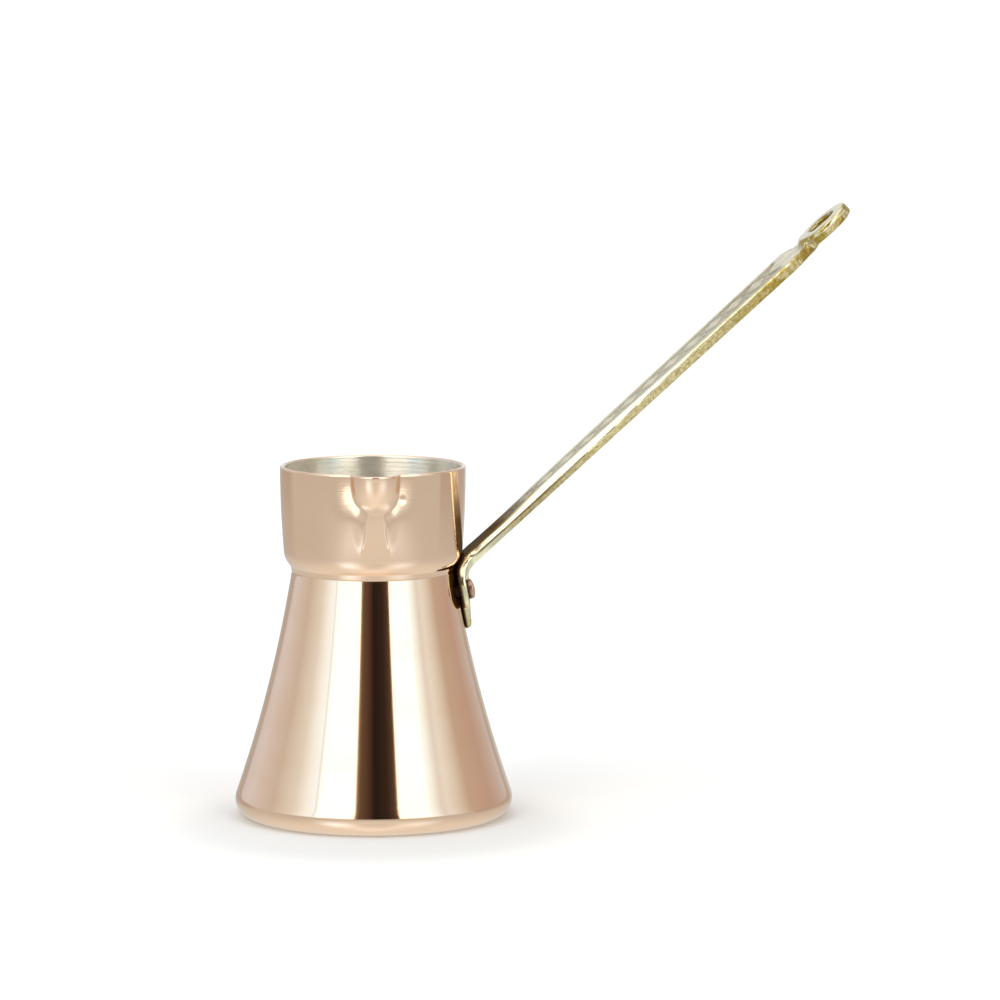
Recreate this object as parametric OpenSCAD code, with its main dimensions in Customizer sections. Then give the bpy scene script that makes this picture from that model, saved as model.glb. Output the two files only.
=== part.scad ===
// Long-handled copper coffee pot: a spun copper body with a pinched pouring lip, tinned inside, and a
// one-piece cast brass handle held by two copper rivets.
// The origin is the centre of the underside. +Z is up, the handle runs towards +X, and the lip is on the -Y side.
// All sizes are in millimetres.

/* [Pot] */
// Height from the underside to the rim
pot_h = 108.4; // [106:0.2:112]
// Diameter over the rounded base edge
base_d = 85.5; // [83:0.1:88]
// Radius of the rounded base edge
base_edge_r = 5.3; // [4:0.1:7]
// Radius of the hollow curve of the flank
flank_r = 420; // [350:10:600]
// Diameter at the neck crease, the narrowest place
neck_d = 49.8; // [48.6:0.1:51]
// Height of the neck crease
neck_z = 75.9; // [75:0.1:77]
// Radius of the neck crease
neck_r = 1.2; // [0.8:0.1:2]
// Radius of the rounding under the collar
shoulder_r = 11; // [7:0.5:13]
// Diameter over the rim
rim_d = 57; // [56:0.1:58.5]
// Radius of the collar's slight barrel curve
collar_r = 290; // [250:10:400]
// Thickness of the copper wall
wall = 1.2; // [1:0.05:1.5]
// Thickness of the tin coat on the inside
tin_t = 0.2; // [0.1:0.05:0.3]

/* [Pouring lip] */
// Angle from the handle round to the lip
lip_angle = 93; // [80:1:100]
// Width of the lip between its side creases
lip_w = 14.6; // [12:0.2:16]
// How far the lip reaches out past the rim
lip_out = 5.2; // [4:0.1:6]
// How far below the rim the lip's nose starts
lip_drop = 11; // [9:0.2:13]

/* [Handle bar] */
// Angle at which the bar rises from the pot
bar_rise = 42.1; // [38:0.1:46]
// Length from the bar's root to the centre of the hanging hole
bar_length = 147; // [120:1:170]
// Width of the bar at its root
bar_root_w = 11.8; // [10:0.1:13]
// Width of the bar at its shoulders, where it is widest
bar_end_w = 22.8; // [18:0.1:24]
// Thickness of the bar at its root
bar_root_t = 4.2; // [3.2:0.1:4.4]
// Thickness of the bar at its shoulders
bar_end_t = 3.4; // [2.8:0.1:3.6]

/* [Hanging ring] */
// Outside diameter of the ring
ring_d = 18.4; // [16:0.1:20]
// Diameter of the hanging hole
ring_hole_d = 9; // [7:0.1:10]
// Thickness of the ring
ring_t = 3.7; // [2.4:0.1:4]
// Width of the narrow neck between the shoulders and the ring
ring_neck_w = 8.4; // [7:0.1:10]

/* [Handle foot] */
// Height of the lowest point of the foot's tongue
foot_low_z = 57.3; // [55:0.1:60]
// Thickness of the foot's two ears
ear_t = 2.2; // [1.8:0.1:2.8]
// Half-width over the outer edges of the ears
ear_reach = 9.8; // [9.6:0.1:11]
// Half-width of the tongue at its rounded end
tongue_half_w = 3; // [2.4:0.1:3.2]

/* [Rivets] */
// Height of the rivets above the underside
rivet_z = 70.1; // [69:0.1:71]
// Distance from the middle of the foot to each rivet
rivet_y = 6.4; // [6.3:0.1:6.6]
// Diameter of the rivet shank
rivet_shank_d = 3.6; // [3:0.1:4]
// Diameter of the outer rivet head
rivet_head_d = 6; // [5.4:0.1:6.4]
// Height of the outer rivet head at its edge
rivet_head_h = 1.9; // [1.4:0.1:2.2]

/* [Hidden] */
$fn = 96;

copper = [0.80, 0.56, 0.42];
tin = [0.80, 0.80, 0.76];
brass = [0.82, 0.71, 0.40];
past = 1;               // how far a cutter runs past the face it opens
seat_gap = 0.1;         // clearance between the foot and the flank

// ---- Plane geometry ----

function heading(a) = [cos(a), sin(a)];

function bearing(v) = atan2(v[1], v[0]);

// Points of an arc after its first point, from angle a to angle b in n steps
function arc(c, r, a, b, n) = [for (i = [1 : n]) c + r * heading(a + (b - a) * i / n)];

// The point ra away from a and rb away from b, to the left of the line from a to b (side 1) or right (side -1)
function meet(a, ra, b, rb, side) =
    let (d = b - a, l = norm(d), x = (ra * ra - rb * rb + l * l) / (2 * l), h = sqrt(ra * ra - x * x))
    a + (x * d + side * h * [-d[1], d[0]]) / l;

// ---- Pot profile: five arcs, each tangent to the next ----

rim_r = rim_d / 2;
edge_c = [base_d / 2 - base_edge_r, base_edge_r];
neck_c = [neck_d / 2 + neck_r, neck_z];
collar_c = [rim_r - collar_r, pot_h];
flank_c = meet(edge_c, flank_r + base_edge_r, neck_c, flank_r - neck_r, -1);
shoulder_c = meet(neck_c, neck_r + shoulder_r, collar_c, collar_r - shoulder_r, -1);

flank_low_a = bearing(flank_c - edge_c);
flank_top_a = bearing(flank_c - neck_c);
under_a = bearing(neck_c - shoulder_c);
collar_low_a = bearing(shoulder_c - collar_c);

// Half-section of the pot, moved inwards by inset and ending at height top above the rim
function pot_section(inset, top = 0) = concat(
    [[0, inset], [edge_c[0], inset]],
    arc(edge_c, base_edge_r - inset, -90, 0, 7),
    arc(edge_c, base_edge_r - inset, 0, flank_low_a, 1),
    arc(flank_c, flank_r + inset, flank_low_a + 180, flank_top_a + 180, 16),
    arc(neck_c, neck_r + inset, flank_top_a + 180, under_a + 180, 6),
    arc(shoulder_c, shoulder_r - inset, under_a, collar_low_a, 7),
    arc(collar_c, collar_r - inset, collar_low_a, 0, 8),
    top > 0 ? [[rim_r - inset, pot_h + top], [0, pot_h + top]] : [[0, pot_h]]
);

// Outer radius of the flank at height z
function flank_x(z) = flank_c[0] - sqrt(flank_r * flank_r - (z - flank_c[1]) * (z - flank_c[1]));

// ---- Pouring lip: a leaning round trough that breaks through the collar ----

lip_r = lip_w / 2;
lip_lean = atan(lip_out / lip_drop);
lip_depth = 2 * lip_drop;

module lip_trough(inset, top) {
    rotate([0, 0, -lip_angle])
        translate([rim_r + lip_out - lip_r / cos(lip_lean), 0, pot_h])
            rotate([0, lip_lean, 0])
                translate([0, 0, -lip_depth])
                    cylinder(r = lip_r - inset, h = lip_depth + top);
}

module pot_form() {
    rotate_extrude() polygon(pot_section(0));
    intersection() {
        lip_trough(0, lip_r);
        cylinder(r = rim_d, h = pot_h);
    }
}

module cavity(inset) {
    rotate_extrude() polygon(pot_section(inset, past));
    lip_trough(inset, past);
}

// ---- Foot and rivet positions ----

foot_top_z = neck_z - 1.6;
foot_top = [flank_x(foot_top_z) + seat_gap, foot_top_z];
foot_low = [flank_x(foot_low_z) + seat_gap, foot_low_z];
foot_lean = atan((foot_low[0] - foot_top[0]) / (foot_top[1] - foot_low[1]));
foot_along = heading(90 + foot_lean);
foot_out = heading(foot_lean);

// Point in the XZ plane at height z on the foot's inner face, moved outwards by t
function foot_point(z, t = 0) = foot_low + (z - foot_low_z) / foot_along[1] * foot_along + t * foot_out;

rivet_seat = foot_point(rivet_z - ear_t * foot_out[1], ear_t);

// side is -1 for the front rivet and 1 for the back one. Local +Z leaves the outer face of the ear.
module at_rivet(side) {
    translate([rivet_seat[0], side * rivet_y, rivet_seat[1]])
        rotate([0, 90 - foot_lean, 0])
            children();
}

rivet_reach = 8;        // from the seat to well inside the pot

module rivet_holes() {
    for (side = [-1, 1])
        at_rivet(side)
            translate([0, 0, -rivet_reach])
                cylinder(d = rivet_shank_d, h = rivet_reach + past);
}

// ---- Pot body and lining ----

module pot_body() {
    color(copper)
        difference() {
            pot_form();
            cavity(wall);
            rivet_holes();
        }
}

module tin_lining() {
    color(tin)
        difference() {
            intersection() {
                cavity(wall);
                cylinder(r = rim_d, h = pot_h);
            }
            cavity(wall + tin_t);
            rivet_holes();
        }
}

// ---- Handle ----

bar_root = [30, 82.97];  // on the line of the bar's top face
ring_end = bar_length + ring_d / 2;
shoulder_u = bar_length - 16;
ring_rise = 0.9;         // how far the ring's top face stands above the bar's
root_curve_r = 60;       // the bar's top face bends down to the foot on this radius
root_curve_u = 5;        // where that bend starts
bend_r = 6;              // radius inside the bend between the bar's underside and the foot

// Point in the XZ plane at u along the bar's top face and w above it
function bar_point(u, w) = bar_root + u * heading(bar_rise) + w * heading(bar_rise + 90);

bar_low_a = bar_rise + atan((bar_root_t - bar_end_t) / shoulder_u);
spine_low = [foot_low[0] + 1.7, foot_low_z + 2.4];
spine_top = [foot_top[0] + 4, foot_top_z];
spine_a = bearing(spine_top - spine_low);
root_low = bar_point(0, -bar_root_t);
// The corner where the spine's outer face would meet the bar's underside
corner_k = ((root_low - spine_low) * [-sin(bar_low_a), cos(bar_low_a)])
    / ([cos(spine_a), sin(spine_a)] * [-sin(bar_low_a), cos(bar_low_a)]);
corner = spine_low + corner_k * heading(spine_a);
bend_turn = spine_a - bar_low_a;
bend_c = corner - bend_r * tan(bend_turn / 2) * heading(spine_a) + bend_r * heading(spine_a - 90);

// Side view of the bar, bend and spine
function handle_side() = concat(
    [foot_point(foot_low_z), foot_point(foot_low_z + 0.1, 1), spine_low],
    arc(bend_c, bend_r, spine_a + 90, bar_low_a + 90, 8),
    [bar_point(shoulder_u, -bar_end_t), bar_point(shoulder_u + 6, ring_rise - ring_t)],
    [bar_point(ring_end + past, ring_rise - ring_t), bar_point(ring_end + past, ring_rise)],
    [bar_point(shoulder_u + 8, ring_rise), bar_point(shoulder_u + 5, 0)],
    [for (u = [root_curve_u : -3 : -5]) bar_point(u, -pow(root_curve_u - u, 2) / (2 * root_curve_r))],
    [[foot_top[0] + 1.2, neck_z + 1.2], foot_top]
);

// Side view of the ears: their inner face turns outwards under the collar
function ear_side() = [
    foot_point(foot_low_z + 4), foot_point(foot_low_z + 4, ear_t), foot_point(foot_top_z, ear_t),
    [foot_top[0] + ear_t + 1.6, neck_z + 4], [foot_top[0] + 2.2, neck_z + 3.4],
    [foot_top[0] + 1.2, neck_z + 1.2], foot_top
];

module from_side(points, w) {
    rotate([90, 0, 0])
        linear_extrude(height = w, center = true)
            polygon(points);
}

// Outline drawn in the YZ plane and carried along X
module from_front() {
    translate([20, 0, 0])
        rotate([90, 0, 90])
            linear_extrude(height = 20)
                children();
}

module in_bar_frame() {
    translate([bar_root[0], 0, bar_root[1]])
        rotate([0, -bar_rise, 0])
            children();
}

// Bar seen square to its top face, with rounded shoulders that fall to the ring's neck
module bar_outline() {
    start_u = -7;
    half_root = bar_root_w / 2;
    half_end = bar_end_w / 2;
    corner_r = 4;
    bar_half = concat(
        [[start_u, half_root], [0, half_root], [shoulder_u, half_end]],
        arc([shoulder_u, half_end - corner_r], corner_r, 90, 25, 5),
        [[bar_length - 8, ring_neck_w / 2], [bar_length, ring_neck_w / 2]]
    );
    polygon(concat(bar_half, [for (i = [len(bar_half) - 1 : -1 : 0]) [bar_half[i][0], -bar_half[i][1]]]));
    translate([bar_length, 0]) circle(d = ring_d);
}

// Mirrors a half outline, given from the bottom up, about the line through the middle of the handle
function both_sides(half) = concat(half, [for (i = [len(half) - 1 : -1 : 0]) [-half[i][0], half[i][1]]]);

module spine_outline() {
    half_root = bar_root_w / 2;
    polygon(both_sides(concat(
        [[0, foot_low_z]],
        arc([0, foot_low_z + tongue_half_w], tongue_half_w, -90, 0, 6),
        [[tongue_half_w, foot_top_z + 0.4], [half_root, foot_top_z + 3.4], [half_root, neck_z + 6]]
    )));
}

module ear_outline() {
    ear_r = ear_reach - rivet_y;
    ear_low_c = [rivet_y, rivet_z - 1.8];
    polygon(both_sides(concat(
        [[tongue_half_w - 1, ear_low_c[1]]],
        arc(ear_low_c, ear_r, 180, 360, 12),
        [[ear_reach, neck_z - 2.4], [ear_reach - 0.7, neck_z - 1.2], [bar_root_w / 2 - 0.3, neck_z + 3]]
    )));
}

module handle() {
    color(brass)
        difference() {
            union() {
                intersection() {
                    from_side(handle_side(), bar_end_w + 2);
                    in_bar_frame()
                        translate([0, 0, -9])
                            linear_extrude(height = 12)
                                bar_outline();
                }
                intersection() {
                    from_side(handle_side(), bar_end_w + 2);
                    from_front() spine_outline();
                }
                intersection() {
                    from_side(ear_side(), bar_end_w + 2);
                    from_front() ear_outline();
                }
            }
            in_bar_frame()
                translate([bar_length, 0, -9])
                    cylinder(d = ring_hole_d, h = 12);
            rivet_holes();
        }
}

// ---- Rivets ----

crown_h = 0.45;         // rise of the outer head's crown above its edge
inner_head_d = 6.4;
inner_head_depth = 6.4; // from the seat to the face of the inner head

module rivet(side) {
    head_r = rivet_head_d / 2;
    round_r = 0.5;
    color(copper) {
        at_rivet(side)
            rotate_extrude()
                polygon(concat(
                    [[0, 0], [head_r, 0], [head_r, rivet_head_h - round_r]],
                    arc([head_r - round_r, rivet_head_h - round_r], round_r, 0, 70, 4),
                    [[head_r / 2, rivet_head_h + crown_h * 0.75], [0, rivet_head_h + crown_h]]
                ));
        at_rivet(side)
            translate([0, 0, -inner_head_depth])
                cylinder(d = rivet_shank_d, h = inner_head_depth);
        intersection() {
            at_rivet(side)
                translate([0, 0, -inner_head_depth])
                    cylinder(d = inner_head_d, h = inner_head_depth);
            rotate_extrude() polygon(pot_section(wall + tin_t));
        }
    }
}

module front_rivet() { rivet(-1); }

module back_rivet() { rivet(1); }

pot_body();
tin_lining();
handle();
front_rivet();
back_rivet();
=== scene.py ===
"""Looks of the copper coffee pot: spun copper, wiped tin, a sand-cast brass handle and two copper rivets.

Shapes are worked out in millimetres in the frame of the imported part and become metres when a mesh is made.
"""

import math

import bmesh
import bpy
import numpy as np
from mathutils import Matrix, Vector, noise


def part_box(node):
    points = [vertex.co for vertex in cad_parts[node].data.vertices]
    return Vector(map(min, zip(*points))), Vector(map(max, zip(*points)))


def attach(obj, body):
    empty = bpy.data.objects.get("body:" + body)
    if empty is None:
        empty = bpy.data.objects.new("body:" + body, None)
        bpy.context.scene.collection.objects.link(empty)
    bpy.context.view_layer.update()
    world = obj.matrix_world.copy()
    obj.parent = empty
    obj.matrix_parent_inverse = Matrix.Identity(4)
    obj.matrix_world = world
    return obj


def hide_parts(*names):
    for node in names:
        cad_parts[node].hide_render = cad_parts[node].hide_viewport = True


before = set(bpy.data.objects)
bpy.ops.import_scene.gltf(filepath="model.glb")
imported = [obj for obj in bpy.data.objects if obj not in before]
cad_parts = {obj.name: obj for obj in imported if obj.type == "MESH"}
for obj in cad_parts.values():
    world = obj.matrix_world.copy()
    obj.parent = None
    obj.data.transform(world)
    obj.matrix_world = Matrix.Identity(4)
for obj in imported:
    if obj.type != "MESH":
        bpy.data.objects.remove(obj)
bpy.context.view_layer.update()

MM = 0.001

# ---- Driving dimensions, in millimetres ----

POT_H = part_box("pot_body")[1].z / MM
BASE_R = 42.75
BASE_EDGE_R = 5.3
FLANK_R = 420
NECK_R = 25.05
NECK_Z = 75.9
WAIST_R = 3.0
CREASE_IN_R = 25.35
CREASE_Z = 77.3
CREASE_R = 0.35
SHOULDER_R = 7.0
RIM_R = 28.5
COLLAR_R = 330
WALL = 1.2
TIN = 0.2

LIP_ANGLE = math.radians(-93)
LIP_HALF = 7.4
LIP_OUT = 4.9
LIP_DROP = 11.2
LIP_CURL = 1.7
LIP_WINDOW = 19.0
PINCH_DEPTH = 26.0
DENT = 0.9
DENT_LESS = 0.15
SWELL = 0.6
FACET = 0.8
DIMPLE = 0.15
DIMPLE_ACROSS = 8.2
DIMPLE_DEPTH = 7.6

BAR_ROOT = np.array([30.0, 82.97])
BAR_RISE = math.radians(42.1)
BAR_LENGTH = 147.0
SHOULDER_U = 131.0
NECK_U = 138.4
NECK_HALF = 4.3
SHOULDER_SLANT = (0.796, 0.606)
RING_OUT_R = 9.2
RING_HOLE_R = 4.5
RING_T = 3.7
RING_RISE = 0.9
RING_ROUNDING = 0.9
NECK_SWELL = 1.6
BAR_ROOT_T = 4.2
BAR_END_T = 3.4
TOP_ROOT_HALF = 4.7
TOP_SPREAD = 0.0488
RIDGE_ROOT_HALF = 5.9
RIDGE_SPREAD = 0.042
MOTIF = 8.8
BORDER = 1.3
RELIEF = 0.38
FOOT_LOW_Z = 57.3
FOOT_TOP_Z = NECK_Z - 1.6
SEAT_GAP = 0.1
EAR_T = 2.2
EAR_REACH = 9.8
EAR_SLANT = (0.768, 0.64)
TONGUE_HALF = 3.0
RIVET_Y = 6.4
RIVET_Z = 70.1
RIVET_HEAD_R = 3.0
RIVET_HEAD_H = 1.9
RIVET_DOME = 0.45
RIVET_CORNER_R = 0.5
SHANK_R = 1.8
INNER_HEAD_R = 3.2
INNER_HEAD_H = 2.3

# ---- Camera in radians and metres, its lens in millimetres ----

CAMERA_AZIMUTH = math.radians(6)
CAMERA_PITCH = 0.1194
CAMERA_BACK = 1.5
CAMERA_ASIDE = 0.039
CAMERA_UP = 0.2775
LENS = 177.1
SENSOR = 36

# ---- Where the softboxes begin and end, in degrees to the right of the camera ----

LEFT_SOFTBOX = (-48, -15)
RIGHT_SOFTBOX = (23, 51)
SOFTBOX_EDGE = (-51.6, -50.0)


# ---- Plane geometry ----

def heading(angle):
    return np.array([math.cos(angle), math.sin(angle)])


def bearing(vector):
    return math.atan2(vector[1], vector[0])


def arc(centre, radius, start, end, step):
    """Points of an arc after its first one, spaced by about step."""
    count = max(2, math.ceil(abs(end - start) * radius / step))
    return [centre + radius * heading(start + (end - start) * i / count) for i in range(1, count + 1)]


def meet(a, ra, b, rb):
    """The point ra from a and rb from b, to the right of the line from a to b."""
    line = b - a
    length = np.linalg.norm(line)
    along = (ra**2 - rb**2 + length**2) / (2 * length)
    aside = math.sqrt(ra**2 - along**2)
    return a + (along * line - aside * np.array([-line[1], line[0]])) / length


def smoothstep(low, high, value):
    t = np.clip((value - low) / (high - low), 0, 1)
    return t * t * (3 - 2 * t)


def smooth_max(a, b, size):
    blend = np.maximum(size - np.abs(a - b), 0) / size
    return np.maximum(a, b) + blend**2 * size / 4


def smooth_min(a, b, size):
    return -smooth_max(-a, -b, size)


# ---- Pot profile: tangent arcs, with one short straight between the waist and the crease ----

EDGE_C = np.array([BASE_R - BASE_EDGE_R, BASE_EDGE_R])
WAIST_C = np.array([NECK_R + WAIST_R, NECK_Z])
CREASE_C = np.array([CREASE_IN_R + CREASE_R, CREASE_Z])
COLLAR_C = np.array([RIM_R - COLLAR_R, POT_H])
FLANK_C = meet(EDGE_C, FLANK_R + BASE_EDGE_R, WAIST_C, FLANK_R - WAIST_R)
SHOULDER_C = meet(CREASE_C, CREASE_R + SHOULDER_R, COLLAR_C, COLLAR_R - SHOULDER_R)
FLANK_LOW = bearing(FLANK_C - EDGE_C)
FLANK_TOP = bearing(FLANK_C - WAIST_C)
SHOULDER_LOW = bearing(CREASE_C - SHOULDER_C)
COLLAR_LOW = bearing(SHOULDER_C - COLLAR_C)


def wall_line(inset, fine):
    """Points of the wall from its flat base to the rim, moved inwards by inset. fine scales their spacing."""
    line = arc(EDGE_C, BASE_EDGE_R - inset, -math.pi / 2, FLANK_LOW, 0.9 * fine)
    line += arc(FLANK_C, FLANK_R + inset, FLANK_LOW + math.pi, FLANK_TOP + math.pi, 1.8 * fine)
    line += arc(WAIST_C, WAIST_R + inset, FLANK_TOP + math.pi, math.pi, 0.15 * fine)
    for share in (0.25, 0.5, 0.75):
        radius = NECK_R + share * (CREASE_IN_R - NECK_R) - inset
        line.append(np.array([radius, NECK_Z + share * (CREASE_Z - NECK_Z)]))
    line += arc(CREASE_C, CREASE_R + inset, math.pi, SHOULDER_LOW + math.pi, 0.12 * fine)
    line += arc(SHOULDER_C, SHOULDER_R - inset, SHOULDER_LOW, COLLAR_LOW, 0.7 * fine)
    return line + arc(COLLAR_C, COLLAR_R - inset, COLLAR_LOW, 0, 0.45 * fine)


def flank_x(z):
    return FLANK_C[0] - math.sqrt(FLANK_R**2 - (z - FLANK_C[1]) ** 2)


# ---- Pinched pouring lip ----

def lip_profile(across, depth, radius):
    """How far a level section of the collar reaches out at each place across the lip."""
    side = np.abs(across)
    collar = np.sqrt(radius**2 - side**2)
    fall = depth / LIP_DROP
    reach = LIP_OUT * (1 - fall**LIP_CURL) if fall < 1 else LIP_OUT * LIP_CURL * (1 - fall)
    bore = LIP_HALF - np.clip(RIM_R - radius, 0, 2) * (depth < 12)
    edge = 0.975 * bore
    held = np.minimum(side, edge)
    slope = held / np.sqrt(bore**2 - held**2)
    trough = radius + reach - bore + np.sqrt(bore**2 - held**2) - slope * (side - held)
    softness = 0.35 + 0.06 * depth + (0.5 + 0.02 * depth) * smoothstep(-4, 4, across)
    return smooth_max(trough, collar + pressed(across, depth), softness)


def pressed(across, depth):
    """Dents beside the lip, the swell below it and the two creased facets that run down from it."""
    side = np.abs(across)
    turn = 8.4 - 7 * (1 - smoothstep(2, 6.5, side))
    rise = smoothstep(-8.5, 6.5, depth - turn)
    deepest = DENT - DENT_LESS * smoothstep(-2, 2, across)
    dent = -deepest * (1 - rise) * np.exp(-((np.maximum(side - 8.2, 0) / 3.8) ** 2))
    swell = SWELL * rise * (1 - smoothstep(13, 26, depth)) * np.exp(-((side / 11.5) ** 4))
    inner = smoothstep(0, 1.1, side - 1.8 - 0.15 * (depth - 12))
    outer = smoothstep(0, 4, 8.6 - 0.2 * (depth - 12) - side)
    facet = FACET * inner * outer * smoothstep(9, 20, depth) * (1 - smoothstep(20, 25.5, depth))
    dimple = -DIMPLE * np.exp(-((across - DIMPLE_ACROSS) ** 2 + (depth - DIMPLE_DEPTH) ** 2) / 0.5)
    return dent + swell + facet + dimple


def pinch(ring, depth, radius):
    """Pushes one level ring of the collar out into the lip and spreads its points evenly along it."""
    out = heading(LIP_ANGLE)
    sideways = heading(LIP_ANGLE + math.pi / 2)
    across = ring[:, :2] @ sideways
    outward = ring[:, :2] @ out
    near = (np.abs(across) < LIP_WINDOW) & (outward > 0)
    fine = np.linspace(-LIP_WINDOW, LIP_WINDOW, 1601)
    profile = lip_profile(fine, depth, radius)
    steps = np.hypot(np.diff(fine), np.diff(profile))
    travelled = np.concatenate([[0], np.cumsum(steps)])
    share = travelled / travelled[-1] * 2 * LIP_WINDOW - LIP_WINDOW
    moved = np.interp(across[near], share, fine)
    reach = np.interp(moved, fine, profile)
    ring[near, :2] = moved[:, None] * sideways + reach[:, None] * out


# ---- Mesh helpers ----

def add_mesh(name, points, faces):
    """A smooth-shaded mesh object from points in millimetres."""
    mesh = bpy.data.meshes.new(name)
    mesh.from_pydata((np.asarray(points) * MM).tolist(), [], faces)
    mesh.polygons.foreach_set("use_smooth", [True] * len(mesh.polygons))
    mesh.update()
    made = bpy.data.objects.new(name, mesh)
    bpy.context.scene.collection.objects.link(made)
    return made


def shell_faces(rings, around):
    """Quads between rings, with a fan to a pole at each end. Pole indices follow the rings' points."""
    first_pole = rings * around
    last_pole = first_pole + 1
    turn = np.arange(around)
    following = (turn + 1) % around
    faces = []
    for k in range(rings - 1):
        low = k * around
        high = low + around
        faces += np.stack([low + turn, low + following, high + following, high + turn], 1).tolist()
    top = (rings - 1) * around
    faces += np.stack([following, turn, np.full(around, first_pole)], 1).tolist()
    faces += np.stack([top + turn, top + following, np.full(around, last_pole)], 1).tolist()
    return faces


def pot_azimuths(count):
    """Angles round the pot, packed twice as close at the lip."""
    share = np.arange(count) / count * 2 - 1
    return LIP_ANGLE + math.pi * (0.5 * share + 0.5 * share**3)


def pot_shell(name, section, count):
    """Revolves a section of (radius, height) points and presses the lip into it."""
    angles = pot_azimuths(count)
    rings = []
    for radius, height in section[1:-1]:
        ring = np.stack([radius * np.cos(angles), radius * np.sin(angles), np.full(count, height)], 1)
        depth = POT_H - height
        if depth < PINCH_DEPTH:
            pinch(ring, depth, radius)
        rings.append(ring)
    poles = [[0, 0, section[0][1]], [0, 0, section[-1][1]]]
    points = np.concatenate(rings + [np.array(poles, float)])
    return add_mesh(name, points, shell_faces(len(rings), count))


def base_line(inset, recess=0.0):
    """Points across the base from its centre to the base edge, with the middle raised by recess."""
    radii = EDGE_C[0] * np.linspace(0, 1, 26)
    return [(radius, inset + recess * (1 - smoothstep(29.5, 31, radius))) for radius in radii]


def make_body():
    """Copper body: outer skin, rolled rim and inner skin."""
    outer = base_line(0, 0.25) + wall_line(0, 1)
    inner = base_line(WALL) + wall_line(WALL, 2.4)
    roll = 0.55
    outer = [p for p in outer if p[1] < POT_H - roll]
    inner = [p for p in inner if p[1] < POT_H - roll]
    rim = []
    for i in range(11):
        turn = math.pi * i / 10
        inset = WALL * (1 - math.cos(turn)) / 2
        rim.append((RIM_R - inset, POT_H - roll + roll * math.sin(turn)))
    return pot_shell("copper_body", outer + rim + inner[::-1], 432)


def make_tin():
    """Tin coat over the inside of the copper."""
    inset = WALL + TIN
    outside = WALL + 0.02
    skin = base_line(inset) + wall_line(inset, 1.3)
    back = base_line(outside) + wall_line(outside, 3)
    top = POT_H - 0.3
    skin = [p for p in skin if p[1] < top - 0.2]
    back = [p for p in back if p[1] < top - 0.2]
    edge = [(RIM_R - inset, top - 0.12), (RIM_R - inset + 0.08, top), (RIM_R - WALL - 0.02, top - 0.02)]
    return pot_shell("tin_coat", skin + edge + back[::-1], 360)


# ---- Cast handle, as a signed distance in the bar's own frame ----
# u runs along the bar from its root, y across it and w up out of its top face.

ALONG = heading(BAR_RISE)
UPWARD = heading(BAR_RISE + math.pi / 2)
FOOT_TOP = np.array([flank_x(FOOT_TOP_Z) + SEAT_GAP, FOOT_TOP_Z])
FOOT_LOW = np.array([flank_x(FOOT_LOW_Z) + SEAT_GAP, FOOT_LOW_Z])
FOOT_RISE = (FOOT_TOP - FOOT_LOW) / np.linalg.norm(FOOT_TOP - FOOT_LOW)
FOOT_OUT = np.array([FOOT_RISE[1], -FOOT_RISE[0]])
RIVET_SEAT = FOOT_LOW + FOOT_RISE * (RIVET_Z - FOOT_LOW_Z) + FOOT_OUT * EAR_T


def top_half(u):
    """Half the width of the bar's flat top face."""
    return TOP_ROOT_HALF + TOP_SPREAD * u


def ridge_drop(u):
    """How far the bar's widest line lies below its top face."""
    return 0.5 + 1.5 * (1 - smoothstep(35, 105, u))


def relief(u, y):
    """Height of the cast pattern on the bar's top face: lozenges, strokes and dots between two rails."""
    side = np.abs(y)
    field_half = top_half(u) - BORDER
    inside = smoothstep(0, 0.3, field_half - side) * smoothstep(5, 8, u) * (1 - smoothstep(127, 129, u))
    step = np.abs(np.mod(u / MOTIF, 1) - 0.5) * MOTIF
    lozenge = smoothstep(0, 0.22, 1 - step / 3.9 - side / (0.62 * field_half))
    slot = smoothstep(0, 0.3, 2.1 - step) * smoothstep(0, 0.3, 0.5 - side)
    stroke = smoothstep(0, 0.3, 1.7 - step) * smoothstep(0, 0.25, 0.45 - np.abs(side - 0.78 * field_half))
    dot_gap = np.hypot(MOTIF / 2 - step, side - 0.45 * field_half)
    dots = smoothstep(0, 0.3, 0.75 - dot_gap)
    height = -RELIEF + RELIEF * lozenge + 0.8 * RELIEF * dots - RELIEF * slot - 0.7 * RELIEF * stroke
    return inside * height


def bar_top(u):
    """Height of the bar's top line, which sags a little near the pot and drops just before the ring."""
    sag = 0.35 * np.exp(-(((u - 14) / 14) ** 2))
    return -sag - 0.5 * smoothstep(131.5, 137, u)


def bar_distance(u, y, w):
    """The tapering bar: flat top, bevels, a side that narrows downwards and two slanted shoulders."""
    side = np.abs(y)
    top_line = bar_top(u)
    top = w - top_line - relief(u, y)
    ridge_half = RIDGE_ROOT_HALF + RIDGE_SPREAD * u
    ridge_low = ridge_drop(u)
    thick = BAR_ROOT_T + (BAR_END_T - BAR_ROOT_T) * u / SHOULDER_U
    run = ridge_half - top_half(u)
    bevel = ((side - top_half(u)) * ridge_low + (w - top_line) * run) / np.hypot(ridge_low, run)
    lower = (side - ridge_half) + (w + ridge_low) * -0.22
    shoulder = (u - NECK_U) * SHOULDER_SLANT[0] + (side - NECK_HALF) * SHOULDER_SLANT[1]
    edge = smooth_max(smooth_max(bevel, lower, 0.25), shoulder, 2.5)
    slab = smooth_max(top, -thick - w, 0.5)
    return smooth_max(smooth_max(slab, edge, 0.35), -8 - u, 0.3)


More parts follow.
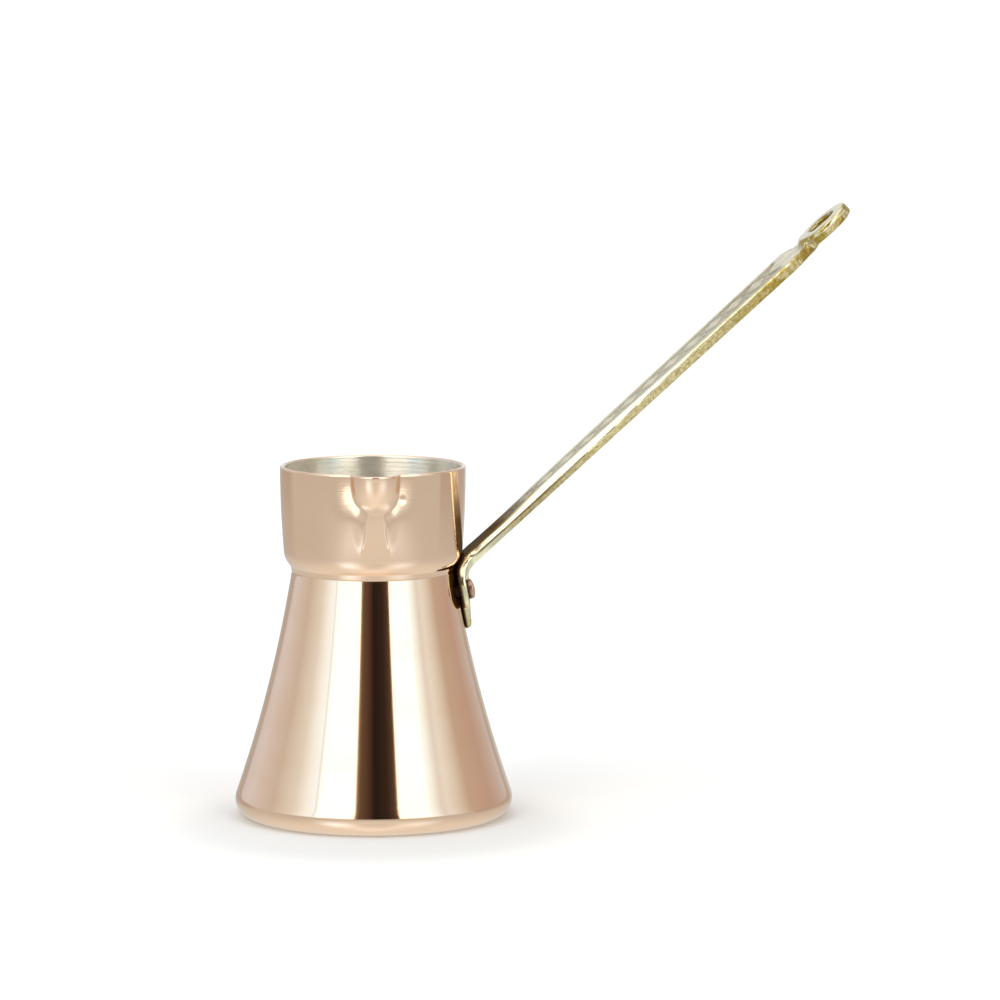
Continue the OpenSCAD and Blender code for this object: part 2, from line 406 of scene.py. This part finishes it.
def ring_distance(u, y, w):
    """The flat hanging ring with rounded corners."""
    radial = np.abs(np.hypot(u - BAR_LENGTH, y) - (RING_OUT_R + RING_HOLE_R) / 2)
    level = np.abs(w - RING_RISE + RING_T / 2)
    a = radial - (RING_OUT_R - RING_HOLE_R) / 2 + RING_ROUNDING
    b = level - RING_T / 2 + RING_ROUNDING
    return np.hypot(np.maximum(a, 0), np.maximum(b, 0)) + np.minimum(np.maximum(a, b), 0) - RING_ROUNDING


def neck_distance(u, y, w):
    """An oval swelling under the neck, so the underside runs on into the ring without a waist."""
    oval = np.stack([(u - 134.5) / 8, y / 6.8, (w + 2.6) / NECK_SWELL])
    return (np.sqrt((oval**2).sum(0)) - 1) * NECK_SWELL


def foot_distance(x, y, z):
    """The tongue, its flare into the bar and the two riveted ears."""
    side = np.abs(y)
    up = (x - FOOT_LOW[0]) * FOOT_RISE[0] + (z - FOOT_LOW[1]) * FOOT_RISE[1]
    out = (x - FOOT_LOW[0]) * FOOT_OUT[0] + (z - FOOT_LOW[1]) * FOOT_OUT[1]
    half = TONGUE_HALF + 2.9 * smoothstep(15, 22, up)
    tip = np.hypot(side, np.minimum(up - TONGUE_HALF, 0)) - TONGUE_HALF
    sides = np.where(up < TONGUE_HALF, tip, side - half)
    face = out - 1.8 - 2.1 * smoothstep(-2, 20, up)
    spine = smooth_max(smooth_max(sides, face, 1.1), up - 26, 0.5)
    low_corner = smooth_max(side - EAR_REACH, FOOT_LOW_Z + 7.2 - z, 4.5)
    slope = (side - 9.1) * EAR_SLANT[0] + (z - 74.7) * EAR_SLANT[1]
    outline = smooth_max(low_corner, slope, 1.6)
    ears = smooth_max(outline, out - EAR_T - 0.35 * np.maximum(up - 16, 0), 0.9)
    return smooth_min(spine, ears, 0.8)


def standoff(x, z):
    """How far a point stands out from the handle's inner face, which follows the flank, neck and collar."""
    flank = FOOT_LOW[0] + (z - FOOT_LOW_Z) * (FOOT_TOP[0] - FOOT_LOW[0]) / (FOOT_TOP_Z - FOOT_LOW_Z)
    low = x - np.maximum(flank, CREASE_IN_R + 0.15)
    high = np.hypot(x - SHOULDER_C[0], np.minimum(z - SHOULDER_C[1], 0)) - SHOULDER_R - 0.2
    return smooth_min(low, high, 1.0)


def bar_frame(points):
    """The part's frame to (u, y, w), all in millimetres."""
    x = points[:, 0] - BAR_ROOT[0]
    z = points[:, 2] - BAR_ROOT[1]
    return np.stack([x * ALONG[0] + z * ALONG[1], points[:, 1], x * UPWARD[0] + z * UPWARD[1]], 1)


def part_frame(points):
    """(u, y, w) back to the part's frame."""
    u, y, w = points.T
    x = BAR_ROOT[0] + u * ALONG[0] + w * UPWARD[0]
    z = BAR_ROOT[1] + u * ALONG[1] + w * UPWARD[1]
    return np.stack([x, y, z], 1)


def handle_distance(points):
    """Signed distance, roughly, from the whole handle with its rivet holes."""
    u, y, w = points.T
    x, _, z = part_frame(points).T
    foot = smooth_max(foot_distance(x, y, z), w + 1.8, 0.5)
    solid = smooth_min(bar_distance(u, y, w), ring_distance(u, y, w), 3.0)
    solid = smooth_min(solid, neck_distance(u, y, w), 1.2)
    solid = smooth_min(solid, foot, 2.4)
    solid = smooth_max(solid, -standoff(x, z), 0.5)
    rise = (x - RIVET_SEAT[0]) * FOOT_RISE[0] + (z - RIVET_SEAT[1]) * FOOT_RISE[1]
    return np.maximum(solid, SHANK_R - np.hypot(rise, np.abs(y) - RIVET_Y))


def settle(points, edges, distance):
    """Relaxes points along the surface and drops them onto the zero of a distance function."""
    nudge = 0.02
    offsets = np.eye(3) * nudge
    links = np.concatenate([edges, edges[:, ::-1]])
    degree = np.bincount(links[:, 0], minlength=len(points))
    for relax in (0.5, 0.5, 0.4, 0.3, 0, 0):
        total = np.stack([np.bincount(links[:, 0], points[links[:, 1], k], len(points)) for k in range(3)], 1)
        points = points + relax * (total / degree[:, None] - points)
        slope = np.stack([distance(points + o) - distance(points - o) for o in offsets], 1) / (2 * nudge)
        size = np.maximum((slope**2).sum(1), 0.05)
        drop = np.clip(distance(points) / size, -0.4, 0.4)
        points = points - drop[:, None] * slope
    return points


def mesh_points(mesh):
    points = np.zeros(len(mesh.vertices) * 3)
    mesh.vertices.foreach_get("co", points)
    return points.reshape(-1, 3)


def fine_skin(node, spacing):
    """An even quad skin of a CAD node, with its points in the bar's frame."""
    blank = bmesh.new()
    blank.from_mesh(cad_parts[node].data)
    bmesh.ops.remove_doubles(blank, verts=blank.verts, dist=1e-6)
    mesh = bpy.data.meshes.new("blank")
    blank.to_mesh(mesh)
    blank.free()
    mesh.vertices.foreach_set("co", bar_frame(mesh_points(mesh) / MM).ravel())
    holder = bpy.data.objects.new("blank", mesh)
    bpy.context.scene.collection.objects.link(holder)
    remesh = holder.modifiers.new("remesh", "REMESH")
    remesh.mode = "VOXEL"
    remesh.voxel_size = spacing
    graph = bpy.context.evaluated_depsgraph_get()
    skin = bpy.data.meshes.new_from_object(holder.evaluated_get(graph))
    bpy.data.objects.remove(holder)
    return skin


def paint(target, name, values):
    """Stores one number per point for the material to read."""
    layer = target.data.attributes.new(name, "FLOAT", "POINT")
    layer.data.foreach_set("value", np.asarray(values, np.float32))


def paint_handle(made, points):
    """Marks the recesses of the pattern, the raw cast skin, the deep golden stretches and the painted shade.
    """
    u, y, w = points.T
    x, _, z = part_frame(points).T
    below_ridge = -w - ridge_drop(u)
    from_eye = np.hypot(u - BAR_LENGTH, y)
    on_top = smoothstep(-1.1, -0.7, w) * (u > 3)
    recess = np.clip(-relief(u, y) / RELIEF, 0, 1.6) / 1.6 * on_top
    cast = smoothstep(0, 0.5, below_ridge) * smoothstep(8, 20, u)

    bar_end = smoothstep(85, 128, u) * smoothstep(-0.3, 0.5, -w)
    ring_side = smoothstep(8.4, 9.0, from_eye) * (u > 136)
    eye_wall = 1 - smoothstep(4.8, 5.4, from_eye)
    tongue = 0.6 * (z < RIVET_Z - 6)

    # Painted shade, laid on later as a dark matt coat: a line under the ridge and the side near the root, the
    # top face at the root, the inner face where it stands against the pot, and the wall of the ring's hole.
    line = smoothstep(-0.1, 0.2, below_ridge) * (1 - smoothstep(0.4, 1.0, below_ridge))
    dark_line = 0.85 * line * (1 - smoothstep(25, 55, u)) * smoothstep(-2, 2, u)
    side_root = 0.35 * smoothstep(0.7, 1.1, below_ridge) * (1 - smoothstep(20, 50, u)) * smoothstep(2, 6, u)
    root = (1 - smoothstep(8, 34, u)) * smoothstep(-1.0, -0.5, w - bar_top(u)) * smoothstep(-7, -5, u)
    behind = (1 - smoothstep(0.3, 0.9, standoff(x, z))) * (1 - smoothstep(82, 86, z))

    paint(made, "recess", recess)
    paint(made, "cast", cast)
    paint(made, "deep", np.maximum.reduce([bar_end, ring_side, eye_wall, tongue]))
    paint(made, "painted_shade", np.maximum.reduce([0.95 * root, behind, dark_line, side_root, 0.35 * eye_wall]))


def make_handle():
    """The CAD handle's skin, drawn onto the finer shape above."""
    skin = fine_skin("handle", 0.27)
    edges = np.zeros(len(skin.edges) * 2, np.int64)
    skin.edges.foreach_get("vertices", edges)
    points = settle(mesh_points(skin), edges.reshape(-1, 2), handle_distance)
    faces = [list(face.vertices) for face in skin.polygons]
    made = add_mesh("brass_handle", part_frame(points), faces)
    paint_handle(made, points)
    return made


# ---- Rivets ----

def rivet_profile():
    """(radius, height) points from the middle of the domed outer head to the middle of the inner one."""
    flat_r = RIVET_HEAD_R - RIVET_CORNER_R
    low_face = -WALL - TIN - EAR_T - SEAT_GAP - INNER_HEAD_H
    profile = [(0.0, RIVET_HEAD_H + RIVET_DOME)]
    profile += [(r, RIVET_HEAD_H + RIVET_DOME * (1 - (r / flat_r) ** 2)) for r in (0.5, 1.0, 1.5, 2.0, 2.4)]
    corner = np.array([flat_r, RIVET_HEAD_H - RIVET_CORNER_R])
    profile += [tuple(p) for p in arc(corner, RIVET_CORNER_R, math.pi / 2.2, 0, 0.12)]
    profile += [(RIVET_HEAD_R, 0.5), (RIVET_HEAD_R - 0.05, 0.0), (SHANK_R, 0.0), (SHANK_R, low_face + 1.6)]
    profile += [(INNER_HEAD_R, low_face + 1.0), (INNER_HEAD_R - 0.1, low_face + 0.7)]
    profile += [(r, low_face + 0.55 * (r / 3.0) ** 2) for r in (2.7, 2.2, 1.6, 1.0, 0.5)]
    return profile + [(0.0, low_face)]


def make_rivet(name, side):
    """Outer pan head, shank and inner head, revolved about the rivet's own axis."""
    profile = rivet_profile()
    count = 56
    turn = np.arange(count) / count * 2 * math.pi
    outward = np.array([FOOT_OUT[0], 0, FOOT_OUT[1]])
    upward = np.array([FOOT_RISE[0], 0, FOOT_RISE[1]])
    seat = np.array([RIVET_SEAT[0], side * RIVET_Y, RIVET_SEAT[1]])
    points = []
    for radius, height in profile[1:-1]:
        spots = [Vector((math.cos(a), math.sin(a), height + side * 4)) for a in turn]
        lift = np.array([0.07 * noise.noise(spot) for spot in spots])
        along = (radius * np.cos(turn))[:, None] * upward
        aside = (radius * np.sin(turn))[:, None] * np.array([0, 1, 0])
        points.append(seat + (along + aside) + (height + lift)[:, None] * outward)
    poles = np.array([seat + outward * profile[0][1], seat + outward * profile[-1][1]])
    made = add_mesh(name, np.concatenate(points + [poles]), shell_faces(len(profile) - 2, count))
    heights = np.repeat([height for _, height in profile[1:-1]], count)
    radii = np.repeat([radius for radius, _ in profile[1:-1]], count)
    # Painted shade: dark from the head's lower edge down through the shank and inner head, and a little over
    # the rims.
    low = 1 - smoothstep(0.3, 1.2, heights)
    rim = 0.25 * smoothstep(2.55, 2.95, radii)
    paint(made, "painted_shade", np.append(np.maximum(low, rim), [0, 0]))
    return made


# ---- Materials ----

def add_node(tree, kind, inputs=None, **settings):
    """A new node. An input that is a socket is linked, any other is set."""
    made = tree.nodes.new(kind)
    for name, value in settings.items():
        setattr(made, name, value)
    for name, value in (inputs or {}).items():
        if isinstance(value, bpy.types.NodeSocket):
            tree.links.new(value, made.inputs[name])
        else:
            made.inputs[name].default_value = value
    return made


def calc(tree, operation, *values):
    """The result of one maths node."""
    return add_node(tree, "ShaderNodeMath", dict(enumerate(values)), operation=operation).outputs[0]


def ramp(tree, value, low, high, out_low=0.0, out_high=1.0):
    """Smooth change from out_low to out_high as value goes from low to high."""
    inputs = {"Value": value, "From Min": low, "From Max": high, "To Min": out_low, "To Max": out_high}
    return add_node(tree, "ShaderNodeMapRange", inputs, interpolation_type="SMOOTHSTEP").outputs["Result"]


def ramp_linear(tree, value, low, high):
    inputs = {"Value": value, "From Min": low, "From Max": high}
    return add_node(tree, "ShaderNodeMapRange", inputs).outputs["Result"]


def mix_colour(tree, share, first, second):
    made = add_node(tree, "ShaderNodeMix", data_type="RGBA")
    for socket, value in ((made.inputs[0], share), (made.inputs[6], first), (made.inputs[7], second)):
        if isinstance(value, bpy.types.NodeSocket):
            tree.links.new(value, socket)
        else:
            socket.default_value = value
    return made.outputs[2]


def noise_at(tree, scale, detail=3.0, rough=0.55):
    """Noise over the object's own space, with its own scale in X, Y and Z."""
    place = add_node(tree, "ShaderNodeTexCoord").outputs["Object"]
    mapped = add_node(tree, "ShaderNodeMapping", {"Vector": place, "Scale": scale}).outputs[0]
    inputs = {"Vector": mapped, "Scale": 1.0, "Detail": detail, "Roughness": rough}
    return add_node(tree, "ShaderNodeTexNoise", inputs).outputs[0]


def bump(tree, height, strength, distance, normal=None):
    inputs = {"Height": height, "Strength": strength, "Distance": distance}
    if normal:
        inputs["Normal"] = normal
    return add_node(tree, "ShaderNodeBump", inputs).outputs[0]


def metal(name):
    """A new material whose tree holds a metallic Principled shader. Returns the material, tree and shader."""
    made = bpy.data.materials.new(name)
    made.use_nodes = True
    shader = made.node_tree.nodes["Principled BSDF"]
    shader.inputs["Metallic"].default_value = 1.0
    return made, made.node_tree, shader


def feed(tree, shader, **values):
    """Sets or links a shader's inputs, named with underscores for spaces."""
    for name, value in values.items():
        socket = shader.inputs[name.replace("_", " ")]
        if isinstance(value, bpy.types.NodeSocket):
            tree.links.new(value, socket)
        else:
            socket.default_value = value


def spun_copper():
    made, tree, shader = metal("spun_copper")
    lines = noise_at(tree, (25, 25, 3200), 2.0)
    broad = noise_at(tree, (30, 30, 90), 3.0)
    colour = mix_colour(tree, ramp(tree, broad, 0.35, 0.7), (0.95, 0.68, 0.505, 1), (0.935, 0.655, 0.475, 1))
    rough = calc(tree, "ADD", ramp(tree, lines, 0.3, 0.75, 0.045, 0.09), ramp(tree, broad, 0.4, 0.7, 0, 0.02))
    tangent = add_node(tree, "ShaderNodeTangent", direction_type="RADIAL", axis="Z").outputs[0]
    feed(tree, shader, Base_Color=colour, Roughness=rough, Anisotropic=0.75, Anisotropic_Rotation=0.25)
    feed(tree, shader, Tangent=tangent, Normal=bump(tree, lines, 0.04, 0.0002))
    return made


def wiped_tin():
    made, tree, shader = metal("wiped_tin")
    streaks = noise_at(tree, (18, 18, 1400), 3.0)
    patches = noise_at(tree, (90, 90, 220), 4.0)
    colour = mix_colour(tree, ramp(tree, patches, 0.45, 0.7), (0.98, 0.94, 0.85, 1), (0.80, 0.77, 0.66, 1))
    rough = ramp(tree, patches, 0.35, 0.7, 0.30, 0.42)
    tangent = add_node(tree, "ShaderNodeTangent", direction_type="RADIAL", axis="Z").outputs[0]
    normal = bump(tree, streaks, 0.2, 0.0004)
    feed(tree, shader, Base_Color=colour, Roughness=rough, Anisotropic=0.85, Anisotropic_Rotation=0.25)
    feed(tree, shader, Tangent=tangent, Normal=bump(tree, patches, 0.1, 0.0006, normal))
    return made


def add_painted_shade(tree, shader, colour):
    """Covers the metal with a matt dark coat of painted shade where the attribute says so."""
    coat = add_node(tree, "ShaderNodeBsdfDiffuse", {"Color": colour}).outputs[0]
    mixed = add_node(tree, "ShaderNodeMixShader", {0: attribute(tree, "painted_shade"), 1: shader.outputs[0], 2: coat})
    tree.links.new(mixed.outputs[0], tree.nodes["Material Output"].inputs["Surface"])


def attribute(tree, name):
    return add_node(tree, "ShaderNodeAttribute", attribute_name=name).outputs["Fac"]


def cast_brass():
    made, tree, shader = metal("cast_brass")
    cast = attribute(tree, "cast")
    recess = attribute(tree, "recess")
    grain = noise_at(tree, (2200, 2200, 2200), 2.0)
    pits = noise_at(tree, (850, 850, 850), 4.0, 0.6)
    wear = noise_at(tree, (210, 210, 210), 3.0)
    rough_skin = mix_colour(tree, ramp(tree, pits, 0.35, 0.6), (0.60, 0.47, 0.22, 1), (0.80, 0.68, 0.38, 1))
    worn = ramp(tree, wear, 0.4, 0.75, 0, 0.35)
    polished = mix_colour(tree, worn, (0.89, 0.81, 0.56, 1), (0.82, 0.70, 0.40, 1))
    colour = mix_colour(tree, cast, polished, rough_skin)
    patches = calc(tree, "MULTIPLY", attribute(tree, "deep"), ramp(tree, wear, 0.43, 0.60, 1.0, 0.05))
    colour = mix_colour(tree, patches, colour, (0.47, 0.33, 0.07, 1))
    colour = mix_colour(tree, recess, colour, (0.50, 0.44, 0.34, 1))
    rough = calc(tree, "ADD", ramp(tree, cast, 0, 1, 0.17, 0.30), calc(tree, "MULTIPLY", recess, 0.25))
    uneven = calc(tree, "MULTIPLY", pits, ramp(tree, cast, 0, 1, 0.04, 1.0))
    normal = bump(tree, uneven, 0.8, 0.0016)
    feed(tree, shader, Base_Color=colour, Roughness=rough, Normal=bump(tree, grain, 0.08, 0.0001, normal))
    # Colour of the painted shade on the brass.
    add_painted_shade(tree, shader, (0.085, 0.05, 0.018, 1))
    return made


def hammered_copper():
    made, tree, shader = metal("hammered_copper")
    marks = noise_at(tree, (600, 600, 600), 2.0)
    colour = mix_colour(tree, ramp(tree, marks, 0.35, 0.7), (0.88, 0.56, 0.42, 1), (0.60, 0.34, 0.24, 1))
    rough = ramp(tree, marks, 0.3, 0.7, 0.22, 0.4)
    feed(tree, shader, Base_Color=colour, Roughness=rough, Normal=bump(tree, marks, 0.4, 0.0005))
    # Colour of the painted shade on the rivets.
    add_painted_shade(tree, shader, (0.03, 0.014, 0.009, 1))
    return made


# ---- Studio ----

RIGHT = Vector((math.cos(CAMERA_AZIMUTH), -math.sin(CAMERA_AZIMUTH), 0))
AHEAD = Vector((math.sin(CAMERA_AZIMUTH), math.cos(CAMERA_AZIMUTH), 0))


def direction_angles(tree, direction):
    """Azimuth from the camera's side, positive to the right, and elevation of a direction, in degrees."""
    right = add_node(tree, "ShaderNodeVectorMath", {0: direction, 1: RIGHT}, operation="DOT_PRODUCT")
    back = add_node(tree, "ShaderNodeVectorMath", {0: direction, 1: -AHEAD}, operation="DOT_PRODUCT")
    up = add_node(tree, "ShaderNodeSeparateXYZ", {0: direction}).outputs["Z"]
    azimuth = calc(tree, "DEGREES", calc(tree, "ARCTAN2", right.outputs["Value"], back.outputs["Value"]))
    return azimuth, calc(tree, "DEGREES", calc(tree, "ARCSINE", up))


def scaled(tree, vector, factor):
    """A vector times a factor."""
    return add_node(tree, "ShaderNodeVectorMath", {0: vector, "Scale": factor}, operation="SCALE").outputs[0]


def band(tree, value, low, high, soft):
    """1 between low and high, falling to 0 over soft on each side."""
    rise = ramp(tree, value, low - soft, low + soft)
    fall = ramp(tree, value, high - soft, high + soft, 1, 0)
    return calc(tree, "MULTIPLY", rise, fall)


# Wall colours round the room, each at its azimuth in degrees. Those between are blended.
ROOM = [
    (-180, (0.95, 0.97, 1.00)),
    (-160, (0.62, 0.65, 0.70)),
    (-128, (0.72, 0.77, 0.84)),
    (-95, (0.63, 0.64, 0.62)),
    (-72, (0.80, 0.91, 0.94)),
    (-60, (1.00, 1.25, 1.42)),
    (-52, (1.05, 1.40, 1.70)),
    (-16, (0.60, 0.50, 0.40)),
    (-12, (0.14, 0.10, 0.06)),
    (-4, (0.09, 0.05, 0.035)),
    (2, (0.02, 0.015, 0.01)),
    (14, (0.04, 0.025, 0.018)),
    (21, (0.09, 0.06, 0.04)),
    (24, (0.60, 0.50, 0.40)),
    (54, (1.05, 1.40, 1.60)),
    (63, (0.82, 0.93, 0.98)),
    (70, (0.86, 1.00, 1.06)),
    (80, (0.75, 0.81, 0.79)),
    (92, (0.57, 0.52, 0.46)),
    (118, (0.53, 0.45, 0.41)),
    (142, (0.58, 0.58, 0.60)),
    (160, (0.70, 0.78, 0.84)),
    (180, (0.95, 0.97, 1.00)),
]


def room_light(tree, azimuth):
    """Colour of the room's walls right round the pot."""
    made = add_node(tree, "ShaderNodeValToRGB", {0: ramp_linear(tree, azimuth, -180, 180)})
    stops = made.color_ramp.elements
    while len(stops) < len(ROOM):
        stops.new(1.0)
    for stop, (angle, colour) in zip(stops, ROOM):
        stop.position = (angle + 180) / 360
        stop.color = (*colour, 1)
    return made.outputs[0]


def light_studio():
    """A pale room with a softbox on each side of a dark camera end."""
    world = bpy.data.worlds.new("studio")
    bpy.context.scene.world = world
    world.use_nodes = True
    tree = world.node_tree
    view = add_node(tree, "ShaderNodeTexCoord").outputs["Generated"]
    azimuth, elevation = direction_angles(tree, view)
    left_box = band(tree, azimuth, *LEFT_SOFTBOX, 1.2)
    right_box = band(tree, azimuth, *RIGHT_SOFTBOX, 1.2)
    height = calc(tree, "MULTIPLY", ramp(tree, elevation, 2, 5), ramp(tree, elevation, 60, 75, 1, 0))
    boxes = calc(tree, "MULTIPLY", calc(tree, "ADD", left_box, right_box), height)
    box_edge = calc(tree, "MULTIPLY", band(tree, azimuth, *SOFTBOX_EDGE, 0.5), 0.22)
    aside = calc(tree, "ABSOLUTE", azimuth)
    front = calc(tree, "MULTIPLY", ramp(tree, aside, 55, 75, 1, 0), ramp(tree, elevation, -0.5, 3, 1, 0))
    ceiling = ramp(tree, elevation, 35, 70)
    colour = mix_colour(tree, front, room_light(tree, azimuth), (0.72, 0.76, 0.74, 1))
    colour = mix_colour(tree, ceiling, colour, (1.25, 1.25, 1.25, 1))
    colour = mix_colour(tree, boxes, colour, (2.3, 2.2, 2.0, 1))
    colour = mix_colour(tree, box_edge, colour, (0.30, 0.28, 0.25, 1))
    rays = add_node(tree, "ShaderNodeLightPath")
    colour = mix_colour(tree, rays.outputs["Is Camera Ray"], colour, (1.2, 1.2, 1.2, 1))
    tree.links.new(colour, tree.nodes["Background"].inputs["Color"])


def floor_sheen(tree):
    """Colour of the floor as metal mirrors it: brighter where it carries the softboxes."""
    incoming = add_node(tree, "ShaderNodeNewGeometry").outputs["Incoming"]
    azimuth, elevation = direction_angles(tree, scaled(tree, incoming, -1.0))
    steep = calc(tree, "MULTIPLY", elevation, -1)
    plain = ramp(tree, steep, 4, 60, 0.60, 0.84)
    aside = calc(tree, "ABSOLUTE", azimuth)
    front = calc(tree, "MULTIPLY", ramp(tree, aside, 15, 80, 0.13, 0), ramp(tree, steep, 5, 14))
    plain = calc(tree, "ADD", plain, front)
    gap = calc(tree, "MULTIPLY", band(tree, azimuth, -10, 18, 10), band(tree, steep, 28, 58, 8))
    plain = calc(tree, "SUBTRACT", plain, calc(tree, "MULTIPLY", gap, 0.14))
    level = band(tree, steep, 24, 48, 14)
    left = calc(tree, "MULTIPLY", band(tree, azimuth, -46, -22, 12), 0.36)
    right = calc(tree, "MULTIPLY", band(tree, azimuth, 30, 58, 14), 0.22)
    patch = calc(tree, "MULTIPLY", level, calc(tree, "ADD", left, right))
    greener = calc(tree, "MULTIPLY", plain, 1.04)
    grey = add_node(tree, "ShaderNodeCombineColor", {0: plain, 1: greener, 2: plain}).outputs[0]
    lit = scaled(tree, (1.0, 1.5, 2.0), patch)
    total = add_node(tree, "ShaderNodeVectorMath", {0: grey, 1: lit}, operation="ADD").outputs[0]
    far = calc(tree, "MULTIPLY", ramp(tree, steep, 5, 15, 1, 0), 0.9)
    sides = calc(tree, "ADD", band(tree, azimuth, 94, 160, 3), ramp(tree, azimuth, -128, -112, 1, 0))
    return mix_colour(tree, calc(tree, "MULTIPLY", far, sides), total, (0.49, 0.45, 0.41, 1))


def make_floor():
    """A round pale floor, clear from below."""
    bpy.ops.mesh.primitive_circle_add(vertices=128, radius=3.0, fill_type="NGON", location=(0, 0, 0))
    floor = bpy.context.object
    floor.name = "floor"
    made = bpy.data.materials.new("pale_floor")
    made.use_nodes = True
    tree = made.node_tree
    tree.nodes.remove(tree.nodes["Principled BSDF"])
    place = add_node(tree, "ShaderNodeTexCoord").outputs["Object"]
    moved = add_node(tree, "ShaderNodeVectorMath", {0: place, 1: AHEAD * 0.02}, operation="ADD").outputs[0]
    away = add_node(tree, "ShaderNodeVectorMath", {0: moved}, operation="LENGTH").outputs["Value"]
    shade = mix_colour(tree, ramp(tree, away, 0.045, 0.075), (0.85, 0.865, 0.88, 1), (1.0, 1.0, 1.0, 1))
    matt = add_node(tree, "ShaderNodeBsdfDiffuse", {"Color": shade}).outputs[0]
    sheen = add_node(tree, "ShaderNodeEmission", {"Color": floor_sheen(tree)}).outputs[0]
    mirrored = add_node(tree, "ShaderNodeLightPath").outputs["Is Glossy Ray"]
    facing = add_node(tree, "ShaderNodeMixShader", {0: mirrored, 1: matt, 2: sheen}).outputs[0]
    clear = add_node(tree, "ShaderNodeBsdfTransparent").outputs[0]
    below = add_node(tree, "ShaderNodeNewGeometry").outputs["Backfacing"]
    joined = add_node(tree, "ShaderNodeMixShader", {0: below, 1: facing, 2: clear}).outputs[0]
    tree.links.new(joined, tree.nodes["Material Output"].inputs["Surface"])
    floor.data.materials.append(made)


def place_camera():
    forward = AHEAD * math.cos(CAMERA_PITCH) - Vector((0, 0, 1)) * math.sin(CAMERA_PITCH)
    above = RIGHT.cross(forward)
    spot = -CAMERA_BACK * AHEAD + CAMERA_ASIDE * RIGHT + Vector((0, 0, CAMERA_UP))
    camera = bpy.data.objects.new("camera", bpy.data.cameras.new("camera"))
    camera.data.lens = LENS
    camera.data.sensor_width = SENSOR
    camera.matrix_world = Matrix.Translation(spot) @ Matrix((RIGHT, above, -forward)).transposed().to_4x4()
    bpy.context.scene.collection.objects.link(camera)
    bpy.context.scene.camera = camera


# ---- Assembly ----

def install(piece, node, material):
    """Gives a piece its material and puts it in the place of its CAD node."""
    piece.data.materials.append(material)
    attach(piece, "root")
    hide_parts(node)


rivet_metal = hammered_copper()
install(make_body(), "pot_body", spun_copper())
install(make_tin(), "tin_lining", wiped_tin())
install(make_handle(), "handle", cast_brass())
install(make_rivet("rivet_front", -1), "front_rivet", rivet_metal)
install(make_rivet("rivet_back", 1), "back_rivet", rivet_metal)
light_studio()
make_floor()
place_camera()
bpy.context.scene.view_settings.view_transform = "Standard"
